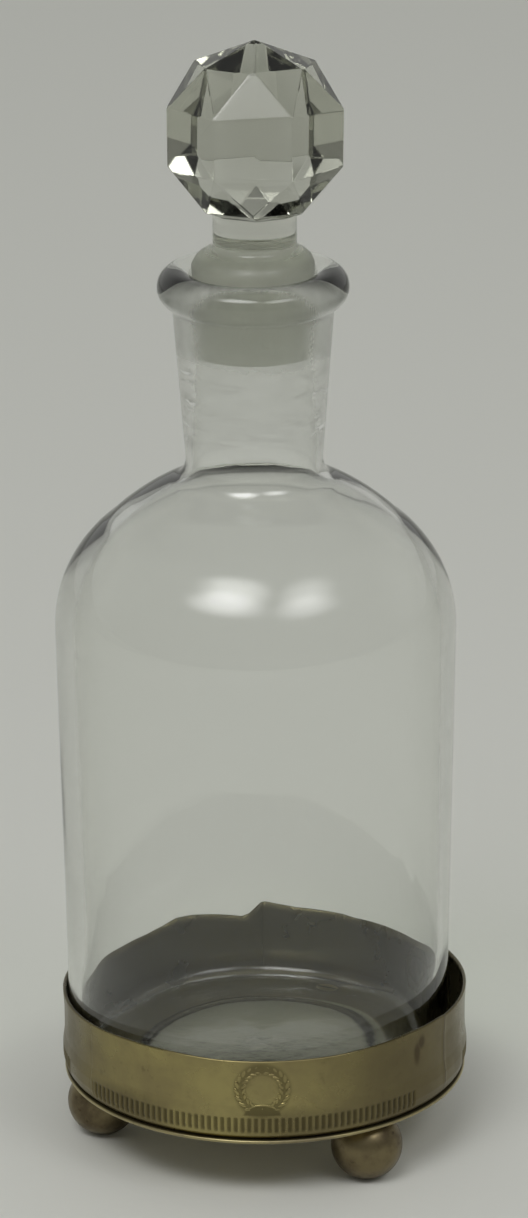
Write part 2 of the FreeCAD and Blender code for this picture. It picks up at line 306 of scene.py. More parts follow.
class Wiring:
    """A node tree with short ways to add and join nodes."""

    def __init__(self, tree: bpy.types.NodeTree) -> None:
        """Keeps the tree."""
        self.tree = tree

    def node(self, kind: str, inputs: Optional[dict] = None, **settings: object) -> bpy.types.Node:
        """Adds a node.

        Args:
            kind: The node's type name.
            inputs: Socket name or index to a value or to an output socket.
            settings: Attributes of the node.

        Returns:
            The node.
        """
        made = self.tree.nodes.new(kind)
        for key, value in settings.items():
            setattr(made, key, value)
        for key, value in (inputs or {}).items():
            if isinstance(value, bpy.types.NodeSocket):
                self.tree.links.new(value, made.inputs[key])
            else:
                made.inputs[key].default_value = value
        return made

    def math(self, operation: str, *terms: object) -> bpy.types.NodeSocket:
        """A Math node's result."""
        return self.node("ShaderNodeMath", dict(enumerate(terms)), operation=operation).outputs[0]

    def blend(self, factor: object, first: object, second: object) -> bpy.types.NodeSocket:
        """A colour mix's result."""
        made = self.node("ShaderNodeMix", {0: factor, 6: first, 7: second}, data_type="RGBA")
        return made.outputs[2]

    def spread(
        self, value: object, low: float, high: float, to_low: float = 0.0, to_high: float = 1.0
    ) -> bpy.types.NodeSocket:
        """A value mapped smoothly from one range to another."""
        sockets = {0: value, 1: low, 2: high, 3: to_low, 4: to_high}
        return self.node("ShaderNodeMapRange", sockets, interpolation_type="SMOOTHSTEP").outputs[0]

    def group(self, tree: bpy.types.NodeTree, inputs: dict) -> bpy.types.Node:
        """Places a shader group."""
        return self.node("ShaderNodeGroup", inputs, node_tree=tree)

    def noise(
        self, place: object, scale: object, detail: float = 2.0, rough: float = 0.5, bent: float = 0.0
    ) -> bpy.types.NodeSocket:
        """A noise texture's value."""
        sockets = {"Vector": place, "Scale": scale, "Detail": detail, "Roughness": rough, "Distortion": bent}
        return self.node("ShaderNodeTexNoise", sockets).outputs[0]

    def stored(self, name: str) -> bpy.types.NodeSocket:
        """A number painted on the piece, for a shader."""
        return self.node("ShaderNodeAttribute", attribute_name=name).outputs["Fac"]

    def objects_place(self) -> bpy.types.NodeSocket:
        """Where a point of the piece is, in metres."""
        return self.node("ShaderNodeTexCoord").outputs["Object"]

    def all_of(self, operation: str, *terms: object) -> bpy.types.NodeSocket:
        """The sum, product or largest of several values."""
        result = terms[0]
        for term in terms[1:]:
            result = self.math(operation, result, term)
        return result

    def link(self, value: bpy.types.NodeSocket, socket: bpy.types.NodeSocket) -> None:
        """Joins an output to an input."""
        self.tree.links.new(value, socket)


def solid(colour: Colour) -> tuple[float, float, float, float]:
    """A colour with full alpha."""
    return (*colour, 1.0)


def new_group(name: str, inputs: dict[str, object], outputs: Sequence[tuple[str, str]]) -> tuple:
    """An empty shader group.

    Args:
        name: The group's name.
        inputs: Socket name to default value; a tuple is a colour.
        outputs: Socket names and types.

    Returns:
        The tree, its wiring, the input node and the output node.
    """
    tree = bpy.data.node_groups.new(name, "ShaderNodeTree")
    for key, value in inputs.items():
        kind = "NodeSocketColor" if isinstance(value, tuple) else "NodeSocketFloat"
        tree.interface.new_socket(key, in_out="INPUT", socket_type=kind).default_value = value
    for key, kind in outputs:
        tree.interface.new_socket(key, in_out="OUTPUT", socket_type=kind)
    wiring = Wiring(tree)
    return tree, wiring, tree.nodes.new("NodeGroupInput"), tree.nodes.new("NodeGroupOutput")


class Effects:
    """The shader groups that more than one finish uses."""

    def __init__(self) -> None:
        """Builds each group once."""
        self.patina = self.make_patina()
        self.drawn_grain = self.make_drawn_grain()
        self.smears = self.make_smears()

    @staticmethod
    def make_patina() -> bpy.types.NodeTree:
        """Clouds of clean and darkened metal with small brown spots."""
        tree, wire, given, out = new_group(
            "patina",
            {
                "Clean": (0.5, 0.4, 0.2, 1.0),
                "Dull": (0.3, 0.25, 0.12, 1.0),
                "Spot": (0.08, 0.05, 0.03, 1.0),
                "Cloud Scale": 90.0,
                "Spot Scale": 700.0,
                "Spot Amount": 0.35,
            },
            [("Color", "NodeSocketColor"), ("Dullness", "NodeSocketFloat"), ("Height", "NodeSocketFloat")],
        )
        place = wire.objects_place()
        cloud = wire.noise(place, given.outputs["Cloud Scale"], 5.0, 0.62)
        fine = wire.noise(place, given.outputs["Spot Scale"], 3.0, 0.55)
        dull = wire.spread(cloud, 0.36, 0.68)
        spots = wire.math("MULTIPLY", wire.spread(fine, 0.56, 0.72), wire.spread(cloud, 0.40, 0.62))
        spots = wire.math("MULTIPLY", spots, given.outputs["Spot Amount"])
        body = wire.blend(dull, given.outputs["Clean"], given.outputs["Dull"])
        wire.link(wire.blend(spots, body, given.outputs["Spot"]), out.inputs["Color"])
        wire.link(wire.math("MAXIMUM", wire.math("MULTIPLY", dull, 0.8), spots), out.inputs["Dullness"])
        wire.link(wire.math("ADD", fine, cloud), out.inputs["Height"])
        return tree

    @staticmethod
    def make_drawn_grain() -> bpy.types.NodeTree:
        """Fine lines that run round an upright axis, as rolling and wiping leave them."""
        tree, wire, given, out = new_group(
            "drawn_grain",
            {"Lines": 9000.0, "Length": 60.0},
            [("Height", "NodeSocketFloat")],
        )
        parts = wire.node("ShaderNodeSeparateXYZ", {0: wire.objects_place()}).outputs
        angle = wire.math("ARCTAN2", parts[0], parts[1])
        along = wire.math("MULTIPLY", angle, GRAIN_RADIUS)
        flat = wire.node("ShaderNodeCombineXYZ", {
            0: wire.math("MULTIPLY", along, given.outputs["Length"]),
            1: wire.math("MULTIPLY", parts[2], given.outputs["Lines"]),
        })
        wire.link(wire.noise(flat.outputs[0], 1.0, 3.0), out.inputs["Height"])
        return tree

    @staticmethod
    def make_smears() -> bpy.types.NodeTree:
        """Faint dried streaks and dusting on glass."""
        tree, wire, given, out = new_group(
            "smears",
            {"Scale": 60.0, "Stretch": 0.35, "Amount": 1.0},
            [("Mask", "NodeSocketFloat"), ("Height", "NodeSocketFloat")],
        )
        place = wire.objects_place()
        parts = wire.node("ShaderNodeSeparateXYZ", {0: place}).outputs
        lengthened = wire.math("MULTIPLY", parts[2], given.outputs["Stretch"])
        drawn = wire.node("ShaderNodeCombineXYZ", {0: parts[0], 1: parts[1], 2: lengthened}).outputs[0]
        broad = wire.noise(drawn, given.outputs["Scale"], 6.0, 0.7)
        fine = wire.noise(place, 1400.0)
        mask = wire.math("ADD", wire.spread(broad, 0.50, 0.78), wire.spread(fine, 0.68, 0.80, 0.0, 0.5))
        wire.link(wire.math("MULTIPLY", mask, given.outputs["Amount"]), out.inputs["Mask"])
        wire.link(wire.noise(drawn, 110.0, 0.0), out.inputs["Height"])
        return tree


@dataclass(frozen=True)
class BrassFinish:
    """Brass sheet or bar as years of handling leave it, with painted shade and painted light where its
    attributes say.

    Fields: name, colours of clean, dull and spotted metal (spotted also for stains and a painted seam
    shadow), of painted shade with tarnish in recesses, of painted shade away from the light, of painted
    shade inside, and of painted light in a pale middle, roughness of clean and dull metal, cloud and spot
    scales, how much is spotted, how deep the grain and pitting are, and how fully the painted inside shade
    and the painted pale middle cover.
    """

    name: str
    clean: Colour
    dull: Colour
    spot: Colour = (0.045, 0.028, 0.016)
    # Painted shade with tarnish: the colour painted in the flutes, between the leaves and round the plate
    # beside the band.
    recess_shade_and_patina: Colour = (0.045, 0.036, 0.016)
    # Painted shade: the darker colour painted on the band where it turns away from the light.
    side_shade_colour: Colour = (0.125, 0.103, 0.058)
    # Painted shade: the colour painted on the band's inside face.
    inside_shade: Colour = (0.10, 0.086, 0.048)
    # Painted light: the pale grey painted in the middle of the plate, for the bright reflection seen there
    # through the bottle's floor.
    pale_disc_colour: Colour = (0.30, 0.295, 0.25)
    smooth: float = 0.30
    rough: float = 0.52
    cloud_scale: float = 90.0
    spot_scale: float = 700.0
    spot_amount: float = 0.4
    grain: float = 0.12
    pitting: float = 0.25
    inside_shade_cover: float = 0.88
    pale_disc_cover: float = 0.85

    def make(self, effects: Effects) -> bpy.types.Material:
        """Builds the material.

        Args:
            effects: The shared shader groups.

        Returns:
            The material. It reads five attributes: painted shade away from the light, painted shade with
                tarnish in recesses, painted shade on inside faces, stains with a painted seam shadow, and
                painted light in a pale middle.
        """
        material = bpy.data.materials.new(self.name)
        material.use_nodes = True
        wire = Wiring(material.node_tree)
        shader = material.node_tree.nodes["Principled BSDF"]
        patina = wire.group(effects.patina, {
            "Clean": solid(self.clean), "Dull": solid(self.dull), "Spot": solid(self.spot),
            "Cloud Scale": self.cloud_scale, "Spot Scale": self.spot_scale, "Spot Amount": self.spot_amount,
        })
        grain = wire.group(effects.drawn_grain, {})
        recess_shade_and_patina, stain_and_seam_shadow, pale_disc = wire.stored("recess_shade_and_patina"), wire.stored("stain_and_seam_shadow"), wire.stored("pale_disc")
        # Painted shade: darker the further round from where the light falls brightest, and towards the
        # bottom.
        colour = wire.blend(wire.stored("side_shade"), patina.outputs["Color"], solid(self.side_shade_colour))
        # Painted shade and tarnish in recesses: the flutes, between the leaves, and the plate beside the
        # band.
        colour = wire.blend(recess_shade_and_patina, colour, solid(self.recess_shade_and_patina))
        # Painted shade on the band's inside face.
        inside = wire.math("MULTIPLY", wire.stored("inside"), self.inside_shade_cover)
        colour = wire.blend(inside, colour, solid(self.inside_shade))
        # Real stains, and a painted shadow line where one strip overlaps the next at the seam.
        colour = wire.blend(stain_and_seam_shadow, colour, solid(self.spot))
        # Painted light: a pale grey, rougher disc in the middle of the plate.
        colour = wire.blend(wire.math("MULTIPLY", pale_disc, self.pale_disc_cover), colour, solid(self.pale_disc_colour))
        wire.link(colour, shader.inputs["Base Color"])
        dullness = wire.all_of("MAXIMUM", patina.outputs["Dullness"], recess_shade_and_patina, pale_disc, stain_and_seam_shadow)
        wire.link(wire.spread(dullness, 0.0, 1.0, self.smooth, self.rough), shader.inputs["Roughness"])
        lines = wire.math("MULTIPLY", grain.outputs["Height"], self.grain)
        pits = wire.math("MULTIPLY", patina.outputs["Height"], self.pitting)
        height = wire.math("ADD", lines, pits)
        bump = wire.node("ShaderNodeBump", {"Height": height, "Strength": 0.35, "Distance": 0.00008})
        wire.link(bump.outputs[0], shader.inputs["Normal"])
        shader.inputs["Metallic"].default_value = 1.0
        return material


@dataclass(frozen=True)
class GlassFinish:
    """Old clear glass, polished outside and ground where a stopper fits.

    Fields: name, tint of each surface, absorption colour and density, tint where the surface turns away and
    where it is ground, roughness where ground, how smeared, wavy and hazy the polished surface is, and the
    heights in metres of the ground, moulded and drawn textures.
    """

    name: str
    tint: Colour = (0.995, 1.0, 0.99)
    absorb: Colour = (0.85, 0.857, 0.83)
    density: float = 100.0
    edge_tint: Colour = (0.80, 0.808, 0.78)
    shadow_tint: Colour = (0.90, 0.92, 0.89)
    ground_tint: Colour = (0.88, 0.885, 0.86)
    ground_rough: float = 0.38
    smear: float = 1.0
    wobble: float = 0.00006
    haze: float = 0.0
    grit_height: float = 0.00003
    mould_height: float = 0.0005
    streak_height: float = 0.0002

    def make(self, effects: Effects) -> bpy.types.Material:
        """Builds the material.

        Args:
            effects: The shared shader groups.

        Returns:
            The material. It reads the attributes ground, mould (rough base) and mottle (drawn neck).
        """
        material = bpy.data.materials.new(self.name)
        material.use_nodes = True
        wire = Wiring(material.node_tree)
        nodes = material.node_tree.nodes
        shader = nodes["Principled BSDF"]
        shader.inputs["Transmission Weight"].default_value = 1.0
        shader.inputs["IOR"].default_value = 1.5
        smears = wire.group(effects.smears, {"Amount": self.smear})
        ground, mould, mottled = wire.stored("ground"), wire.stored("mould"), wire.stored("mottle")
        facing = wire.node("ShaderNodeLayerWeight", {"Blend": 0.5}).outputs["Facing"]
        polished = wire.blend(wire.spread(facing, 0.35, 1.0), solid(self.tint), solid(self.edge_tint))
        wire.link(wire.blend(ground, polished, solid(self.ground_tint)), shader.inputs["Base Color"])
        place = wire.objects_place()
        grit = wire.noise(place, 1500.0, 4.0)
        mottle = wire.noise(place, 420.0, 5.0, 0.65)
        frosting = wire.spread(mottle, 0.25, 0.75, 0.7 * self.ground_rough, 1.25 * self.ground_rough)
        frosting = wire.math("MULTIPLY", ground, frosting)
        drawn = wire.math("MULTIPLY", mottled, wire.spread(mottle, 0.4, 0.7, 0.02, 0.16))
        smeared = wire.math("MULTIPLY_ADD", smears.outputs["Mask"], 0.05, self.haze)
        rough = wire.math("MAXIMUM", wire.math("ADD", frosting, drawn), smeared)
        wire.link(rough, shader.inputs["Roughness"])
        squeezed = wire.node("ShaderNodeMapping", {"Vector": place, "Scale": (1.0, 1.0, 2.6)}).outputs[0]
        streaks = wire.noise(squeezed, 190.0, bent=0.3)
        height = wire.all_of(
            "ADD",
            wire.math("MULTIPLY", smears.outputs["Height"], self.wobble),
            wire.all_of("MULTIPLY", grit, ground, self.grit_height),
            wire.all_of("MULTIPLY", mottle, mould, self.mould_height),
            wire.all_of("MULTIPLY", streaks, mottled, self.streak_height),
        )
        bump = wire.node("ShaderNodeBump", {"Height": height, "Strength": 1.0, "Distance": 1.0})
        wire.link(bump.outputs[0], shader.inputs["Normal"])
        path = wire.node("ShaderNodeLightPath").outputs["Is Shadow Ray"]
        clear = wire.node("ShaderNodeBsdfTransparent", {"Color": solid(self.shadow_tint)})
        mixed = wire.node("ShaderNodeMixShader", {0: path, 1: shader.outputs[0], 2: clear.outputs[0]})
        depth = {"Color": solid(self.absorb), "Density": self.density}
        absorb = wire.node("ShaderNodeVolumeAbsorption", depth)
        output = nodes["Material Output"]
        wire.link(mixed.outputs[0], output.inputs["Surface"])
        wire.link(absorb.outputs[0], output.inputs["Volume"])
        return material


class Finishes:
    """Every material of the object."""

    def __init__(self) -> None:
        """Makes each finish once."""
        effects = Effects()
        self.band = BrassFinish(
            "band_brass",
            clean=(0.385, 0.33, 0.14),
            dull=(0.275, 0.228, 0.112),
            smooth=0.24,
            rough=0.42,
            cloud_scale=55.0,
            spot_amount=0.22,
        ).make(effects)
        self.plate = BrassFinish(
            "plate_brass", clean=(0.46, 0.40, 0.21), dull=(0.30, 0.26, 0.16), rough=0.6
        ).make(effects)
        # Painted shade: the feet's brass is painted darker than the rest, for the shadow under the plate.
        self.foot = BrassFinish(
            "foot_brass",
            clean=(0.215, 0.176, 0.098),
            dull=(0.13, 0.102, 0.062),
            rough=0.50,
            cloud_scale=220.0,
            spot_amount=0.6,
        ).make(effects)
        self.screw = BrassFinish(
            "screw_brass", clean=(0.40, 0.33, 0.18), dull=(0.24, 0.20, 0.11)
        ).make(effects)
        self.bottle = GlassFinish("bottle_clear_glass").make(effects)
        self.stopper = GlassFinish(
            "stopper_cut_glass", absorb=(0.79, 0.795, 0.752), smear=0.5, wobble=0.0, haze=0.045
        ).make(effects)


def dress(piece: bpy.types.Object, material: bpy.types.Material) -> None:
    """Gives a piece its one material."""
    piece.data.materials.clear()
    piece.data.materials.append(material)


def settle(piece: bpy.types.Object, body: Body, stands_for: Sequence[str] = ()) -> None:
    """Fixes a finished piece to its body.

    Args:
        piece: The finished piece.
        body: The body it rides on.
        stands_for: The CAD nodes that it replaces.
    """
    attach(piece, body.value)
    if stands_for:
        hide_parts(*stands_for)
    log.info("%s: %d faces on %s", piece.name, len(piece.data.polygons), body.value)


# ---------------------------------------------------------------------------------------------------
# Bottle
# ---------------------------------------------------------------------------------------------------


@dataclass
class GlassBottle:
    """The blown bottle, in millimetres, about its own upright axis."""

    axis_x: float = -1.0
    segments: int = 256
    spacing: float = 0.9
    bore_shift: float = 0.45
    wall_wave: float = 0.20
    streak_wave: float = 0.05
    neck_wave: float = 0.06
    skin_wave: float = 0.07
    floor_wave: float = 0.10
    ground_from: float = 130.2
    neck_radius: float = 9.75
    neck_from: float = 112.0
    wavy_body: Sequence[float] = (20.0, 34.0, 104.0, 112.0)
    wavy_neck: Sequence[float] = (112.0, 119.0, 127.0, 130.0)
    drawn_neck: Sequence[float] = (115.0, 121.0, 129.0, 131.0)
    outer: Sequence[Step] = (
        (0.0, 12.4), (17.5, 12.4), (20.5, 11.5, 4.0), (26.0, 11.5), (30.4, 16.0, 4.46), (31.7, 85.8),
        (23.46, 102.8, 21.2), (12.3, 110.3, 37.5), (10.75, 113.9, -4.2), (12.6, 138.2), (11.8, 144.3, 3.1),
        (9.6, 143.4, 2.6),
    )
    inner: Sequence[Step] = (
        (9.6, 143.4), (8.93, 131.0), (9.4, 113.6), (12.18, 108.8, 5.4), (21.8, 101.6, -44.0),
        (28.9, 85.8, -22.5), (28.0, 17.6), (25.0, 14.6, -3.0), (20.0, 14.9), (0.0, 16.4),
    )

    def blown(self, angle: np.ndarray, x: np.ndarray, y: np.ndarray, z: np.ndarray) -> tuple:
        """Moves the turned grid as blowing does: a wavy wall, thicker at one side, and a rough floor."""
        outer_rows = len(trace(self.outer, self.spacing)) - 1
        inside = (np.arange(x.shape[0]) >= outer_rows)[:, None]
        skin, wall, floor = waves(3, 9, 5), waves(8, 12, 7), waves(21, 16, 40, 0.6)
        streak, neck = waves(34, 14, 26, 0.03), waves(55, 18, 9, 1.6)
        body = between(z, self.wavy_body)
        bore = between(z, self.wavy_neck)
        drawn = self.wall_wave * wall(angle, z) + self.streak_wave * streak(angle, z)
        push = np.where(inside, drawn, self.skin_wave * (skin(angle, z) - 1.0)) * body
        push = push + np.where(inside, self.neck_wave * neck(angle, z), 0.0) * bore
        radius = np.maximum(np.hypot(x, y), 1e-6)
        x = x * (1.0 + push / radius) + np.where(inside, self.bore_shift * body, 0.0)
        y = y * (1.0 + push / radius)
        mouldy = inside & (z < 20.0)
        z = z + np.where(mouldy, self.floor_wave * floor(0.05 * x, 2.0 * y) * ramp(radius, 1.0, 8.0), 0.0)
        return x, y, z

    def build(self, finishes: Finishes) -> None:
        """Builds and dresses the bottle."""
        line = np.vstack([trace(self.outer, self.spacing), trace(self.inner, self.spacing)[1:]])
        piece = turned("bottle_glass", line, self.segments, (self.axis_x, 0.0), self.blown)
        points = points_of(piece)
        radius = np.hypot(points[:, 0] - self.axis_x, points[:, 1])
        height = points[:, 2]
        neck = radius < self.neck_radius
        edge = self.ground_from + 0.5 * waves(6, 6, 5)(np.arctan2(points[:, 0], points[:, 1]), height)
        ground = ramp(height - edge, -0.5, 0.5)
        paint(piece, "ground", np.where(neck & (height > self.neck_from), ground, 0.0))
        paint(piece, "mottle", np.where(neck, between(height, self.drawn_neck), 0.0))
        under = (height < 17.5) & (radius < 26.0)
        front = ramp(-points[:, 1], 4.0, 14.0)
        rough_floor = (0.15 + 0.85 * front) * (1.0 - ramp(radius, 19.0, 24.0))
        paint(piece, "mould", np.where(under, rough_floor, 0.0))
        dress(piece, finishes.bottle)
        settle(piece, Body.BOTTLE, ["bottle"])


# ---------------------------------------------------------------------------------------------------
# Stopper
# ---------------------------------------------------------------------------------------------------


def direction(around: float, rise: float) -> Vector:
    """The way that an angle from the front and an angle above level point, both in radians."""
    return Vector((math.cos(rise) * math.sin(around), -math.cos(rise) * math.cos(around), math.sin(rise)))


@dataclass(frozen=True)
class FacetTier:
    """A ring of equal facets: how far up they face, how far out they lie, and where the ring starts."""

    name: str
    slope: float
    reach: float
    half_step: bool


@dataclass
class CutStopper:
    """The ground plug, shank and facet-cut ball as one piece of glass, in millimetres."""

    axis_x: float = -1.0
    sides: int = 7
    ball_height: float = 165.4
    ball_shift: float = 0.5
    lean_back: float = 3.5
    turn: float = -1.5
    edge_wear: float = 0.16
    hand_tilt: float = 0.8
    hand_depth: float = 0.10
    seed: int = 14
    block: float = 40.0
    stem_shift: float = 0.3
    slide_heights: tuple[float, float] = (144.0, 148.0)
    ground_beyond: float = 6.7
    ground_ends: tuple[float, float] = (146.9, 147.6)
    stem: Sequence[Step] = (
        (0.0, 131.2), (8.4, 131.2), (8.88, 131.7, 0.6), (9.55, 144.2), (9.3, 145.4, 1.6), (8.6, 146.4, 2.4),
        (7.0, 147.5), (6.5, 148.4, -1.2), (6.5, 156.0), (0.0, 156.0),
    )
    tiers: Sequence[FacetTier] = (
        FacetTier("belt", 0.0, 12.55, False),
        FacetTier("upper_triangle", 25.1, 13.30, False),
        FacetTier("upper_kite", 39.1, 13.66, True),
        FacetTier("upper_cap", 68.0, 13.60, True),
        FacetTier("lower_triangle", -25.1, 13.30, False),
        FacetTier("lower_kite", -39.1, 13.66, True),
        FacetTier("lower_cap", -68.0, 13.60, True),
    )

    def facet_planes(self) -> list[tuple[Vector, float]]:
        """Every facet's outward direction and distance, with a hand cutter's small errors."""
        draw = random.Random(self.seed)
        planes = []
        step = math.tau / self.sides
        for tier in self.tiers:
            for index in range(self.sides):
                around = (index + 0.5 * tier.half_step) * step
                around += math.radians(draw.gauss(0.0, self.hand_tilt))
                rise = math.radians(tier.slope + draw.gauss(0.0, self.hand_tilt))
                planes.append((direction(around, rise), tier.reach - abs(draw.gauss(0.0, self.hand_depth))))
        return planes

    def cut_ball(self) -> bpy.types.Object:
        """The ball: a block with every facet cut off it, its edges slightly worn."""
        work = bmesh.new()
        bmesh.ops.create_cube(work, size=self.block)
        for way, reach in self.facet_planes():
            parts = work.verts[:] + work.edges[:] + work.faces[:]
            cut = bmesh.ops.bisect_plane(
                work, geom=parts, dist=1e-5, plane_co=way * reach, plane_no=way, clear_outer=True)
            edges = [part for part in cut["geom_cut"] if isinstance(part, bmesh.types.BMEdge)]
            if edges:
                bmesh.ops.edgeloop_fill(work, edges=edges)
        bmesh.ops.remove_doubles(work, verts=work.verts, dist=0.02)
        bmesh.ops.dissolve_degenerate(work, edges=work.edges, dist=0.02)
        edges = work.edges[:]
        bmesh.ops.bevel(work, geom=edges, offset=self.edge_wear, segments=2, profile=0.6, affect="EDGES")
        bmesh.ops.recalc_face_normals(work, faces=work.faces)
        place = Matrix.Translation((self.axis_x + self.ball_shift, 0.0, self.ball_height))
        place = place @ Matrix.Rotation(math.radians(-self.lean_back), 4, "X")
        place = place @ Matrix.Rotation(math.radians(self.turn), 4, "Z")
        work.transform(Matrix.Scale(MM, 4) @ place)
        mesh = bpy.data.meshes.new("ball")
        work.to_mesh(mesh)
        work.free()
        made = bpy.data.objects.new("ball", mesh)
        bpy.context.scene.collection.objects.link(made)
        return made

    def build(self, finishes: Finishes) -> None:
        """Builds and dresses the stopper."""
        stem = turned("stem", trace(self.stem, 0.5), 128, (self.axis_x + self.stem_shift, 0.0), self.seated)
        piece = joined_solid("stopper_glass", stem, self.cut_ball())
        points = points_of(piece)
        radius = np.hypot(points[:, 0] - self.axis_x, points[:, 1])
        ground = radius > self.ground_beyond
        paint(piece, "ground", np.where(ground, 1.0 - ramp(points[:, 2], *self.ground_ends), 0.0))
        dress(piece, finishes.stopper)
        settle(piece, Body.STOPPER, ["stopper"])

    def seated(self, angle: np.ndarray, x: np.ndarray, y: np.ndarray, z: np.ndarray) -> tuple:
        """Slides the stem sideways as it rises, from centred in the neck to under the ball."""
        return x - self.stem_shift * (1.0 - ramp(z, *self.slide_heights)), y, z


# ---------------------------------------------------------------------------------------------------
# Holder
# ---------------------------------------------------------------------------------------------------


class TreeMaker:
    """A Geometry Nodes tree with named inputs."""

    def __init__(self, name: str, inputs: dict[str, float]) -> None:
        """Makes the tree, its geometry sockets and one number socket an input.

        Args:
            name: The tree's name.
            inputs: Input name to default value.
        """
        self.tree = bpy.data.node_groups.new(name, "GeometryNodeTree")
        face = self.tree.interface
        face.new_socket("Geometry", in_out="INPUT", socket_type="NodeSocketGeometry")
        face.new_socket("Geometry", in_out="OUTPUT", socket_type="NodeSocketGeometry")
        for key, value in inputs.items():
            face.new_socket(key, in_out="INPUT", socket_type="NodeSocketFloat").default_value = value
        face.new_socket("Material", in_out="INPUT", socket_type="NodeSocketMaterial")
        self.wire = Wiring(self.tree)
        self.given = self.tree.nodes.new("NodeGroupInput")
        self.out = self.tree.nodes.new("NodeGroupOutput")

    def close(self, geometry: bpy.types.NodeSocket) -> None:
        """Ends the tree in Realize Instances and Set Material."""
        real = self.wire.node("GeometryNodeRealizeInstances", {0: geometry}).outputs[0]
        sockets = {"Geometry": real, "Material": self.given.outputs["Material"]}
        dressed = self.wire.node("GeometryNodeSetMaterial", sockets)
        self.wire.link(dressed.outputs[0], self.out.inputs[0])

    def run(self, source: bpy.types.Object, name: str, values: dict[str, object]) -> bpy.types.Object:
        """Runs the tree on an object.

        Args:
            source: The object that carries the modifier; it is removed.
            name: The result's name.
            values: Input name to value.

        Returns:
            The result as a plain mesh.
        """
        change = source.modifiers.new(self.tree.name, "NODES")
        change.node_group = self.tree
        sockets = self.tree.interface.items_tree
        names = {item.name: item.identifier for item in sockets if item.in_out == "INPUT"}
        for key, value in values.items():
            change[names[key]] = value
        return plain_copy(source, name)


@dataclass(frozen=True)
class LeafRow:
    """One row of a wreath's leaves: radius, leaf length and width, and how far leaves turn off the row."""

    radius: float
    length: float
    width: float
    splay: float


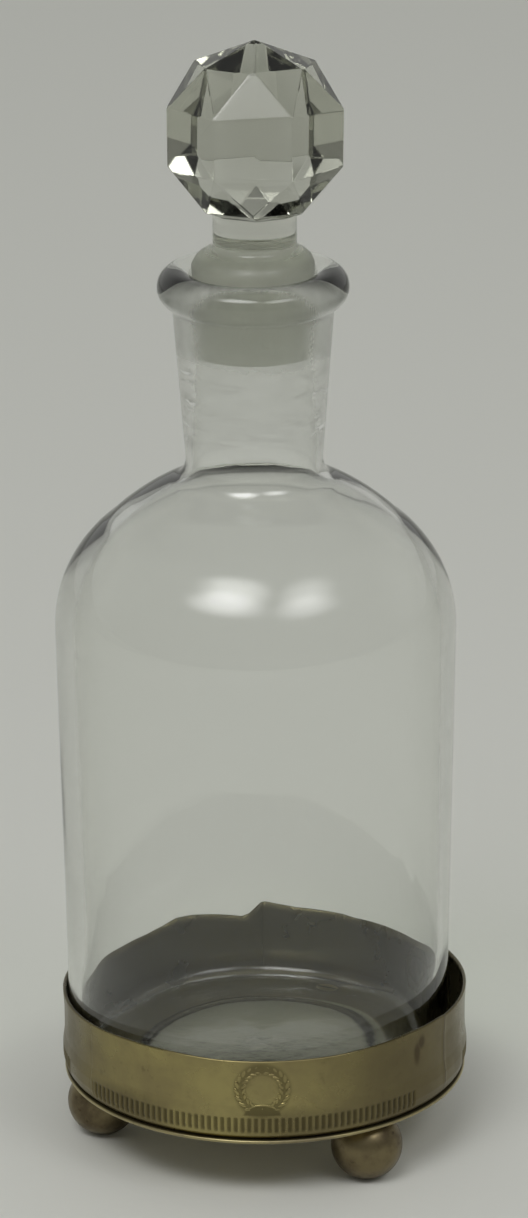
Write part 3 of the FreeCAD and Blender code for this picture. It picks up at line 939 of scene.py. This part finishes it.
@dataclass
class Wreath:
    """The stamped wreath: two rows of leaves a side, a small arch with rays below and two ribbon tails."""

    height: float = 20.05
    centre: float = -0.45
    leaves: int = 9
    gap_below: float = 34.0
    gap_above: float = 12.0
    relief: float = 0.15
    surface: float = 32.26
    arch_height: float = 15.75
    arch_radius: float = 2.35
    ridge: float = 0.24
    flatten: float = 0.5
    rays: int = 7
    ray_size: tuple[float, float] = (0.48, 0.13)
    arch_stretch: tuple[float, float] = (1.2, 0.72)
    rows: Sequence[LeafRow] = (LeafRow(4.05, 1.55, 0.66, 26.0), LeafRow(2.95, 1.25, 0.56, -28.0))

    def tree(self) -> TreeMaker:
        """The rule that lays the wreath flat, wraps it round the band and adds it to a strip."""
        inputs = {"Turn": 0.0, "Surface": 32.3, "Height": 20.0, "Centre": 0.0, "Size": 1.0}
        maker = TreeMaker("stamp_wreath", inputs)
        wire, given = maker.wire, maker.given.outputs
        parts = [self.leaf_row(wire, row, side) for row in self.rows for side in (-1, 1)]
        parts += [self.arch(wire), self.arch_rays(wire), self.tail(wire, -1), self.tail(wire, 1)]
        flat = wire.node("GeometryNodeJoinGeometry")
        for part in parts:
            wire.link(part, flat.inputs[0])
        laid = wire.node("GeometryNodeRealizeInstances", {0: flat.outputs[0]}).outputs[0]
        place = wire.node("GeometryNodeInputPosition").outputs[0]
        place = wire.node("ShaderNodeSeparateXYZ", {0: place}).outputs
        across = wire.math("MULTIPLY_ADD", place[0], given["Size"], given["Centre"])
        along = wire.math("DIVIDE", across, given["Surface"])
        angle = wire.math("ADD", given["Turn"], along)
        radius = wire.math("MULTIPLY", wire.math("ADD", given["Surface"], place[2]), MM)
        rise = self.sized(wire, wire.math("ADD", place[1], given["Height"]), given["Size"])
        wrapped = wire.node("ShaderNodeCombineXYZ", {
            0: wire.math("MULTIPLY", radius, wire.math("SINE", angle)),
            1: wire.math("MULTIPLY", radius, wire.math("MULTIPLY", wire.math("COSINE", angle), -1.0)),
            2: wire.math("MULTIPLY", rise, MM),
        }).outputs[0]
        stamped = wire.node("GeometryNodeSetPosition", {"Geometry": laid, "Position": wrapped}).outputs[0]
        smooth = wire.node("GeometryNodeSetShadeSmooth", {"Geometry": stamped}).outputs[0]
        both = wire.node("GeometryNodeJoinGeometry")
        wire.link(smooth, both.inputs[0])
        wire.link(given["Geometry"], both.inputs[0])
        maker.close(both.outputs[0])
        return maker

    def sized(self, wire: Wiring, height: object, size: object) -> bpy.types.NodeSocket:
        """A height after the wreath is drawn in towards the arch's foot."""
        above = wire.math("SUBTRACT", height, self.arch_height)
        return wire.math("MULTIPLY_ADD", above, size, self.arch_height)

    def leaf_row(self, wire: Wiring, row: LeafRow, side: int) -> bpy.types.NodeSocket:
        """One row of leaves up one side; side is -1 for left and 1 for right."""
        index = wire.node("GeometryNodeInputIndex").outputs[0]
        sweep = math.radians(180.0 - self.gap_below - self.gap_above)
        lowest = math.radians(self.gap_below) - math.pi / 2.0
        climb = wire.math("MULTIPLY_ADD", index, sweep / (self.leaves - 1), lowest)
        spot = wire.node("ShaderNodeCombineXYZ", {
            0: wire.math("MULTIPLY", wire.math("COSINE", climb), side * row.radius),
            1: wire.math("MULTIPLY", wire.math("SINE", climb), row.radius),
        }).outputs[0]
        splay = math.pi / 2.0 - math.radians(row.splay)
        flip = math.pi if side < 0 else 0.0
        heading = wire.math("ADD", wire.math("MULTIPLY", climb, side), side * splay + flip)
        turn = wire.node("ShaderNodeCombineXYZ", {2: heading}).outputs[0]
        points = wire.node("GeometryNodePoints", {"Count": self.leaves, "Position": spot}).outputs[0]
        leaf = self.bump_shape(wire, (row.length / 2.0, row.width / 2.0, self.relief))
        return self.on_points(wire, points, leaf, turn)

    @staticmethod
    def on_points(
        wire: Wiring, points: bpy.types.NodeSocket, shape: bpy.types.NodeSocket, turn: bpy.types.NodeSocket
    ) -> bpy.types.NodeSocket:
        """A shape placed and turned on each point."""
        sockets = {"Points": points, "Instance": shape, "Rotation": turn}
        return wire.node("GeometryNodeInstanceOnPoints", sockets).outputs[0]

    @staticmethod
    def bump_shape(wire: Wiring, size: tuple[float, float, float]) -> bpy.types.NodeSocket:
        """A small rounded bump, twice as long and wide as the half sizes given."""
        ball = wire.node("GeometryNodeMeshIcoSphere", {"Radius": 1.0, "Subdivisions": 2}).outputs[0]
        return wire.node("GeometryNodeTransform", {"Geometry": ball, "Scale": size}).outputs[0]

    def ridge_along(self, wire: Wiring, curve: bpy.types.NodeSocket, half: float) -> bpy.types.NodeSocket:
        """A low raised line along a curve, half its width each side."""
        ring = wire.node("GeometryNodeCurvePrimitiveCircle", {"Resolution": 8, "Radius": half}).outputs[0]
        sockets = {"Curve": curve, "Profile Curve": ring, "Fill Caps": True}
        ridge = wire.node("GeometryNodeCurveToMesh", sockets).outputs[0]
        squash = (1.0, 1.0, self.flatten)
        return wire.node("GeometryNodeTransform", {"Geometry": ridge, "Scale": squash}).outputs[0]

    def arch(self, wire: Wiring) -> bpy.types.NodeSocket:
        """The arch below the wreath."""
        arc = wire.node("GeometryNodeCurveArc", {
            "Resolution": 24, "Radius": self.arch_radius, "Start Angle": 0.0, "Sweep Angle": math.pi,
        }).outputs[0]
        return wire.node("GeometryNodeTransform", {
            "Geometry": self.ridge_along(wire, arc, self.ridge),
            "Translation": (0.0, self.arch_height - self.height, 0.0),
            "Scale": (*self.arch_stretch, 1.0),
        }).outputs[0]

    def arch_rays(self, wire: Wiring) -> bpy.types.NodeSocket:
        """Short rays that fan out inside the arch."""
        index = wire.node("GeometryNodeInputIndex").outputs[0]
        fan = wire.math("MULTIPLY_ADD", index, math.pi / (self.rays + 1), math.pi / (self.rays + 1))
        wide, high = (self.arch_radius * 0.58 * stretch for stretch in self.arch_stretch)
        spot = wire.node("ShaderNodeCombineXYZ", {
            0: wire.math("MULTIPLY", wire.math("COSINE", fan), wide),
            1: wire.math("MULTIPLY_ADD", wire.math("SINE", fan), high, self.arch_height - self.height),
        }).outputs[0]
        turn = wire.node("ShaderNodeCombineXYZ", {2: fan}).outputs[0]
        points = wire.node("GeometryNodePoints", {"Count": self.rays, "Position": spot}).outputs[0]
        ray = self.bump_shape(wire, (*self.ray_size, self.relief * 0.8))
        return self.on_points(wire, points, ray, turn)

    def tail(self, wire: Wiring, side: int) -> bpy.types.NodeSocket:
        """One ribbon tail, running out and up from the arch."""
        low = self.arch_height - self.height
        curve = wire.node("GeometryNodeCurveQuadraticBezier", {
            "Resolution": 14,
            "Start": (side * 2.6, low + 0.45, 0.0),
            "Middle": (side * 4.4, low + 0.15, 0.0),
            "End": (side * 6.4, low + 0.60, 0.0),
        }).outputs[0]
        return self.ridge_along(wire, curve, self.ridge * 0.9)

    def shade(self, along: np.ndarray, rise: np.ndarray) -> np.ndarray:
        """How dark the ground between the leaves and inside the arch is painted: painted shade with tarnish.

        Args:
            along: How far along the band, in millimetres from the wreath's middle.
            rise: The height above the ground, in millimetres.

        Returns:
            0 where nothing is painted, up to 1.
        """
        across = np.hypot(along, rise - self.height)
        ring = ramp(across, 2.2, 3.1) * (1.0 - ramp(across, 4.1, 5.0))
        wide, high = self.arch_stretch
        under = np.hypot(along / wide, (rise - self.arch_height) / high)
        arch = 1.0 - ramp(under, self.arch_radius - 0.1, self.arch_radius + 0.25)
        return np.maximum(0.8 * ring, arch * (rise > self.arch_height))


@dataclass(frozen=True)
class Strip:
    """One strip: its name, starting angle, how far along it its flutes start, and its wreath's size."""

    name: str
    start: float
    flutes_from: float
    wreath_size: float


@dataclass
class StampedBand:
    """The band: three thin brass strips soldered end to end, each stamped with flutes and a wreath.

    Lengths are in millimetres and angles in degrees from the front. Each stained spot is its angle, half its
    width in degrees, its height and half its own height.
    """

    strips: Sequence[Strip] = (
        Strip("front", -58.3, flutes_from=0.6, wreath_size=1.0),
        Strip("right", 61.7, flutes_from=8.2, wreath_size=0.94),
        Strip("left", 181.7, flutes_from=8.2, wreath_size=0.84),
    )
    seam_angle: float = 61.7
    seam_half_turn: float = 0.22
    # Where the band is lit brightest and left without painted shade, in degrees from the front.
    brightest_angle: float = -17.0
    stain_spots: Sequence[tuple[float, ...]] = ((50.0, 1.5, 23.0, 1.15), (48.2, 1.35, 21.4, 1.9))
    strip_angle: float = 120.02
    wreath_angle: float = 58.3
    wall: float = 0.5
    rim_height: float = 25.2
    radius: float = 32.6
    row_spacing: float = 0.17
    columns_a_flute: int = 8
    flute_pitch: float = 1.075
    flute_depth: float = 0.22
    flute_low: float = 12.45
    flute_high: float = 15.55
    flutes_to: float = 60.0
    wreath: Wreath = field(default_factory=Wreath)
    line: Sequence[Step] = (
        (31.3, 11.42), (31.9, 11.72, 0.9), (32.45, 12.9, 2.6), (32.62, 13.6), (32.62, 15.3), (32.56, 15.7),
        (32.35, 17.3), (32.32, 19.0), (32.32, 22.0), (32.5, 25.2),
    )
    rim: Sequence[tuple[float, float]] = (
        (0.0, 24.9), (20.0, 25.0), (45.0, 25.5), (59.0, 25.3), (63.0, 25.05), (90.0, 24.9),
        (125.0, 24.6), (151.0, 24.6), (155.0, 24.9), (171.0, 25.05), (177.5, 25.6), (181.0, 26.0),
        (182.2, 25.8), (185.4, 23.9), (187.5, 23.45), (191.0, 23.8), (204.0, 24.8), (210.0, 24.9),
        (215.0, 24.2), (222.0, 23.7), (250.0, 24.0), (290.0, 24.5), (318.0, 25.2), (333.0, 25.2),
        (348.0, 24.9),
    )

    def rim_at(self, angle: np.ndarray) -> np.ndarray:
        """The bent and trimmed rim's height, in millimetres; angle is in degrees from the front."""
        places, heights = zip(*self.rim)
        return np.interp(np.mod(angle, 360.0), places, heights, period=360.0)

    def strip_grid(self, name: str, start: float) -> bpy.types.Object:
        """One strip before stamping: a closed thin wall with its arc length and height stored.

        Args:
            name: The mesh's name.
            start: Where the strip starts, in degrees from the front.

        Returns:
            The strip, with the attributes arc (mm from its start), rise (mm above the ground) and face
            (1 outside, 0 inside).
        """
        outer = trace(self.line, self.row_spacing)
        flutes = self.radius * math.radians(self.strip_angle) / self.flute_pitch
        count = round(flutes * self.columns_a_flute)
        angle = np.linspace(start, start + self.strip_angle, count + 1)
        lift = np.outer(self.rim_at(angle) - self.rim_height, ramp(outer[:, 1], 16.5, 25.2))
        wander = 0.045 * waves(5, 8, 9)(np.radians(angle)[:, None], outer[None, :, 1] * 2.0)
        end = np.minimum(angle - start, start + self.strip_angle - angle)
        near_seam = np.abs(np.mod(angle, 360.0) - self.seam_angle) < 20.0
        flare = np.where(near_seam, 0.05, 0.0) * np.exp(-((end / 0.9) ** 2))
        out_r = outer[None, :, 0] - 0.05 + wander + flare[:, None] * ramp(outer[:, 1], 12.0, 14.0)[None, :]
        out_z = outer[None, :, 1] + lift
        picks = np.linspace(len(outer) - 1, 0, 14).round().astype(int)
        in_r = out_r[:, picks] - self.wall
        in_z = out_z[:, picks]
        edge_r = out_r[:, -1:] - self.wall * 0.5
        edge_z = out_z[:, -1:] + 0.10
        ring_r = np.hstack([out_r, edge_r, in_r])
        ring_z = np.hstack([out_z, edge_z, in_z])
        turn = np.radians(angle)[:, None]
        grid = np.stack([ring_r * np.sin(turn), -ring_r * np.cos(turn), ring_z], axis=-1)
        rows = ring_r.shape[1]
        faces = []
        for column in range(count):
            here, there = column * rows, (column + 1) * rows
            for k in range(rows):
                above = (k + 1) % rows
                faces.append((here + k, there + k, there + above, here + above))
        faces += [tuple(range(rows)), tuple(count * rows + k for k in reversed(range(rows)))]
        strip = mesh_object(name, grid.reshape(-1, 3) * MM, faces)
        outward(strip)
        inside = rows - len(outer)
        paint(strip, "arc", np.repeat(np.radians(angle - start) * self.radius, rows))
        rises = np.concatenate([outer[:, 1], np.full(inside, self.rim_height)])
        sides = np.concatenate([np.ones(len(outer)), np.zeros(inside)])
        paint(strip, "rise", np.tile(rises, count + 1))
        paint(strip, "face", np.tile(sides, count + 1))
        return strip

    def flute_tree(self) -> TreeMaker:
        """The stamping rule: upright flutes sunk into the strip between two heights and two ends."""
        maker = TreeMaker("stamp_flutes", {
            "Pitch": 1.0, "Depth": 0.2, "Low": 12.8, "High": 15.6, "First": 2.0, "Last": 60.0,
        })
        wire, given = maker.wire, maker.given.outputs

        def stored(name: str) -> bpy.types.NodeSocket:
            """A number stored on the strip."""
            made = wire.node("GeometryNodeInputNamedAttribute", {"Name": name}, data_type="FLOAT")
            return made.outputs["Attribute"]

        def window(value: object, low: object, high: object, soft: float) -> bpy.types.NodeSocket:
            """1 between low and high, falling off over soft."""
            start = wire.math("DIVIDE", wire.math("SUBTRACT", value, low), soft)
            stop = wire.math("DIVIDE", wire.math("SUBTRACT", high, value), soft)
            return wire.spread(wire.math("MINIMUM", start, stop), 0.0, 1.0)

        arc, rise, face = stored("arc"), stored("rise"), stored("face")
        within = wire.math("FRACT", wire.math("DIVIDE", arc, given["Pitch"]))
        swing = wire.math("ABSOLUTE", wire.math("SUBTRACT", within, 0.5))
        sunk = wire.spread(swing, 0.17, 0.40, 1.0, 0.0)
        zone = wire.math("MULTIPLY", window(rise, given["Low"], given["High"], 0.5),
                         window(arc, given["First"], given["Last"], 0.3))
        mask = wire.math("MULTIPLY", sunk, wire.math("MULTIPLY", zone, face))
        push = {0: wire.node("GeometryNodeInputNormal").outputs[0]}
        push["Scale"] = wire.all_of("MULTIPLY", mask, given["Depth"], -MM)
        offset = wire.node("ShaderNodeVectorMath", push, operation="SCALE").outputs[0]
        moved = wire.node("GeometryNodeSetPosition", {"Geometry": given["Geometry"], "Offset": offset})
        kept = {"Geometry": moved.outputs[0], "Name": "flute", "Value": mask}
        store = wire.node("GeometryNodeStoreNamedAttribute", kept, data_type="FLOAT", domain="POINT")
        maker.close(store.outputs[0])
        return maker

    def paint_shade_and_stains(self, piece: bpy.types.Object, strip: Strip) -> None:
        """Stores where a strip is painted dark: painted shade with tarnish in its flutes and between its
        leaves, painted shade on its inside and away from the light, and one old stain with a painted shadow
        line at the seam.
        """
        points = points_of(piece)
        height = points[:, 2]
        around = np.degrees(np.arctan2(points[:, 0], -points[:, 1]))
        on_sheet = numbers_of(piece, "rise") > 0.0
        turn = np.mod(around - strip.start - self.wreath_angle + 180.0, 360.0) - 180.0
        from_middle = (turn * math.radians(self.radius) - self.wreath.centre) / strip.wreath_size
        full_size = self.wreath.arch_height + (height - self.wreath.arch_height) / strip.wreath_size
        wreath = self.wreath.shade(from_middle, full_size) * on_sheet
        # Painted shade with tarnish: the flutes and the ground between the leaves are painted dark.
        paint(piece, "recess_shade_and_patina", np.maximum(0.66 * numbers_of(piece, "flute"), 0.55 * wreath))
        # Painted shade: the inside face of each strip is painted dark.
        paint(piece, "inside", (numbers_of(piece, "face") < 0.5) & on_sheet)
        # Painted shade: the band is painted darker the further it turns from where the light falls
        # brightest, and darker towards the bottom there.
        away = np.abs(np.mod(around - self.brightest_angle + 180.0, 360.0) - 180.0)
        low = 1.0 - ramp(height, 15.0, 18.5)
        sides = 0.8 * ramp(away, 16.0, 58.0)
        paint(piece, "side_shade", np.maximum(sides, 0.6 * low * ramp(away, 2.0, 26.0)))
        spots = [
            np.hypot((around - at) / half_turn, (height - level) / half_height)
            for at, half_turn, level, half_height in self.stain_spots
        ]
        blot = 1.0 - ramp(np.min(spots, axis=0), 0.45, 1.45)
        # Painted shadow: a thin dark line down the seam where one strip overlaps the next; the spots above
        # are real stains.
        seam = np.exp(-(((around - self.seam_angle) / self.seam_half_turn) ** 2))
        paint(piece, "stain_and_seam_shadow", np.maximum(0.6 * blot, 0.7 * seam))

    def build(self, finishes: Finishes) -> None:
        """Builds and dresses the three strips."""
        flutes, wreath = self.flute_tree(), self.wreath.tree()
        for strip in self.strips:
            stamped = flutes.run(self.strip_grid("strip", strip.start), "stamped", {
                "Pitch": self.flute_pitch,
                "Depth": self.flute_depth,
                "Low": self.flute_low,
                "High": self.flute_high,
                "First": strip.flutes_from,
                "Last": self.flutes_to,
                "Material": finishes.band,
            })
            piece = wreath.run(stamped, "band_%s_strip" % strip.name, {
                "Turn": math.radians(strip.start + self.wreath_angle),
                "Surface": self.wreath.surface,
                "Height": self.wreath.height,
                "Centre": self.wreath.centre,
                "Size": strip.wreath_size,
                "Material": finishes.band,
            })
            self.paint_shade_and_stains(piece, strip)
            settle(piece, Body.HOLDER, ["band_" + strip.name])


@dataclass
class TrayPlate:
    """The round plate that the band stands on, in millimetres."""

    line: Sequence[Step] = (
        (0.0, 10.42), (31.0, 10.42), (32.2, 10.85, 1.6), (32.3, 11.05), (32.2, 11.28, 0.3), (32.0, 11.36),
        (20.2, 11.38), (19.3, 11.38), (0.0, 11.38),
    )
    grey_radius: float = 19.5

    def build(self, finishes: Finishes) -> None:
        """Builds and dresses the plate: painted shade with tarnish in a dark ring beside the band, and
        painted light in a pale grey middle.
        """
        piece = turned("base_plate_disc", trace(self.line, 0.6), 256)
        points = points_of(piece)
        radius = np.hypot(points[:, 0], points[:, 1])
        top = points[:, 2] > 11.2
        beyond = ramp(radius, self.grey_radius, self.grey_radius + 0.4)
        # Painted shade with tarnish: the plate is painted dark from its pale middle out under the bottle's
        # heel, and as a painted contact shadow on the ledge at the band's foot.
        paint(piece, "recess_shade_and_patina", np.where(top, 0.85 * beyond * (1.0 - ramp(radius, 32.1, 32.25)), 0.0))
        # Painted light: the middle of the plate is painted pale grey, for the bright reflection seen there
        # through the bottle's floor.
        paint(piece, "pale_disc", np.where(top, 1.0 - beyond, 0.0))
        dress(piece, finishes.plate)
        settle(piece, Body.HOLDER, ["base_plate"])


@dataclass
class BallFeet:
    """The three turned ball feet, in millimetres."""

    circle: float = 26.4
    radius: float = 5.7
    sole: float = 1.06
    seat: float = 3.07
    height: float = 10.4
    angles: dict[str, float] = field(default_factory=lambda: {"left": -82.5, "right": 37.5, "back": 157.5})

    def build(self, finishes: Finishes) -> None:
        """Builds and dresses the feet."""
        corners = [(0.0, 0.0), (self.sole, 0.0), (self.seat, self.height, self.radius), (0.0, self.height)]
        line = trace(corners, 0.3)
        for side, angle in self.angles.items():
            turn = math.radians(angle)
            centre = (self.circle * math.sin(turn), -self.circle * math.cos(turn))
            piece = turned("foot_%s_ball" % side, line, 96, centre)
            dress(piece, finishes.foot)
            settle(piece, Body.HOLDER, ["foot_" + side])


def dress_carried_nodes(finishes: Finishes) -> None:
    """Gives the CAD nodes that stay in view their finish."""
    for name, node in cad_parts.items():
        if name.startswith("foot_screw"):
            dress(node, finishes.screw)


# ---------------------------------------------------------------------------------------------------
# Studio
# ---------------------------------------------------------------------------------------------------


@dataclass(frozen=True)
class SoftBox:
    """A soft light that fades towards its rim; angles in degrees, sizes in metres, power in watts."""

    name: str
    azimuth: float
    elevation: float
    distance: float
    width: float
    height: float
    power: float


@dataclass
class Studio:
    """Floor, lights and camera."""

    floor_colour: Colour = (0.75, 0.755, 0.715)
    floor_half: float = 4.0
    room: Colour = (0.25, 0.25, 0.234)
    backdrop: Colour = (0.50, 0.505, 0.48)
    ceiling: Colour = (0.26, 0.264, 0.25)
    lights: Sequence[SoftBox] = (
        SoftBox("left_window", -24.0, 53.0, 3.0, 2.9, 1.5, 106.0),
        SoftBox("right_window", 40.0, 47.0, 3.0, 2.5, 1.3, 46.0),
    )
    camera_place: tuple[float, float, float] = (0.34, -847.9, 391.35)
    pitch: float = 19.667
    roll: float = -0.3853
    lens: float = 169.1

    def lay_floor(self) -> None:
        """A plain pale floor."""
        half = self.floor_half
        corners = [(-half, -half, 0), (half, -half, 0), (half, half, 0), (-half, half, 0)]
        floor = mesh_object("floor", corners, [(0, 1, 2, 3)])
        material = bpy.data.materials.new("floor_cloth")
        material.use_nodes = True
        wire = Wiring(material.node_tree)
        shader = material.node_tree.nodes["Principled BSDF"]
        shader.inputs["Base Color"].default_value = solid(self.floor_colour)
        shader.inputs["Roughness"].default_value = 0.9
        shader.inputs["Specular IOR Level"].default_value = 0.2
        weave = wire.noise(wire.objects_place(), 500.0)
        bump = wire.node("ShaderNodeBump", {"Height": weave, "Strength": 0.2, "Distance": 0.0002})
        wire.link(bump.outputs[0], shader.inputs["Normal"])
        dress(floor, material)

    def light(self) -> None:
        """A soft room: a graded world and two window-like lights."""
        world = bpy.data.worlds.new("room")
        bpy.context.scene.world = world
        world.use_nodes = True
        wire = Wiring(world.node_tree)
        place = wire.node("ShaderNodeTexCoord").outputs["Generated"]
        way = wire.node("ShaderNodeSeparateXYZ", {0: place}).outputs
        walls = wire.blend(wire.spread(way[1], -0.25, 0.55), solid(self.room), solid(self.backdrop))
        colour = wire.blend(wire.spread(way[2], 0.30, 0.70), walls, solid(self.ceiling))
        back = world.node_tree.nodes["Background"]
        wire.link(colour, back.inputs["Color"])
        for box in self.lights:
            self.hang(box)

    @staticmethod
    def hang(box: SoftBox) -> None:
        """Hangs one soft light, facing the object."""
        data = bpy.data.lights.new(box.name, "AREA")
        data.shape = "RECTANGLE"
        data.size = box.width
        data.size_y = box.height
        data.energy = box.power
        data.use_nodes = True
        wire = Wiring(data.node_tree)
        spot = wire.node("ShaderNodeNewGeometry").outputs["Parametric"]
        out = wire.node("ShaderNodeVectorMath", {0: spot, 1: (0.5, 0.5, 0.0)}, operation="DISTANCE")
        glow = wire.spread(out.outputs["Value"], 0.08, 0.5, 1.0, 0.0)
        wire.link(glow, data.node_tree.nodes["Emission"].inputs["Strength"])
        lamp = bpy.data.objects.new(box.name, data)
        way = direction(math.radians(box.azimuth), math.radians(box.elevation))
        lamp.location = way * box.distance + Vector((0, 0, LIGHTS_AIM))
        lamp.rotation_euler = way.to_track_quat("Z", "Y").to_euler()
        bpy.context.scene.collection.objects.link(lamp)

    def aim(self) -> None:
        """The camera, above the front and looking slightly down."""
        tilt, roll = math.radians(self.pitch), math.radians(self.roll)
        ahead = Vector((0.0, math.cos(tilt), -math.sin(tilt)))
        right = Vector((1.0, 0.0, 0.0))
        above = Vector((0.0, math.sin(tilt), math.cos(tilt)))
        turned_right = right * math.cos(roll) + above * math.sin(roll)
        turned_up = above * math.cos(roll) - right * math.sin(roll)
        matrix = Matrix((turned_right, turned_up, -ahead)).transposed().to_4x4()
        matrix.translation = Vector(self.camera_place) * MM
        data = bpy.data.cameras.new("camera")
        data.lens = self.lens
        data.sensor_width = 36.0
        data.clip_start = 0.05
        camera = bpy.data.objects.new("camera", data)
        camera.matrix_world = matrix
        bpy.context.scene.collection.objects.link(camera)
        bpy.context.scene.camera = camera


def main() -> None:
    """Builds the object and its studio."""
    logging.basicConfig(level=logging.INFO, format="%(name)s %(message)s")
    bpy.context.scene.view_settings.view_transform = "Standard"
    studio = Studio()
    studio.aim()
    studio.lay_floor()
    studio.light()
    finishes = Finishes()
    GlassBottle().build(finishes)
    CutStopper().build(finishes)
    StampedBand().build(finishes)
    TrayPlate().build(finishes)
    BallFeet().build(finishes)
    dress_carried_nodes(finishes)


if __name__ == "__main__":
    main()
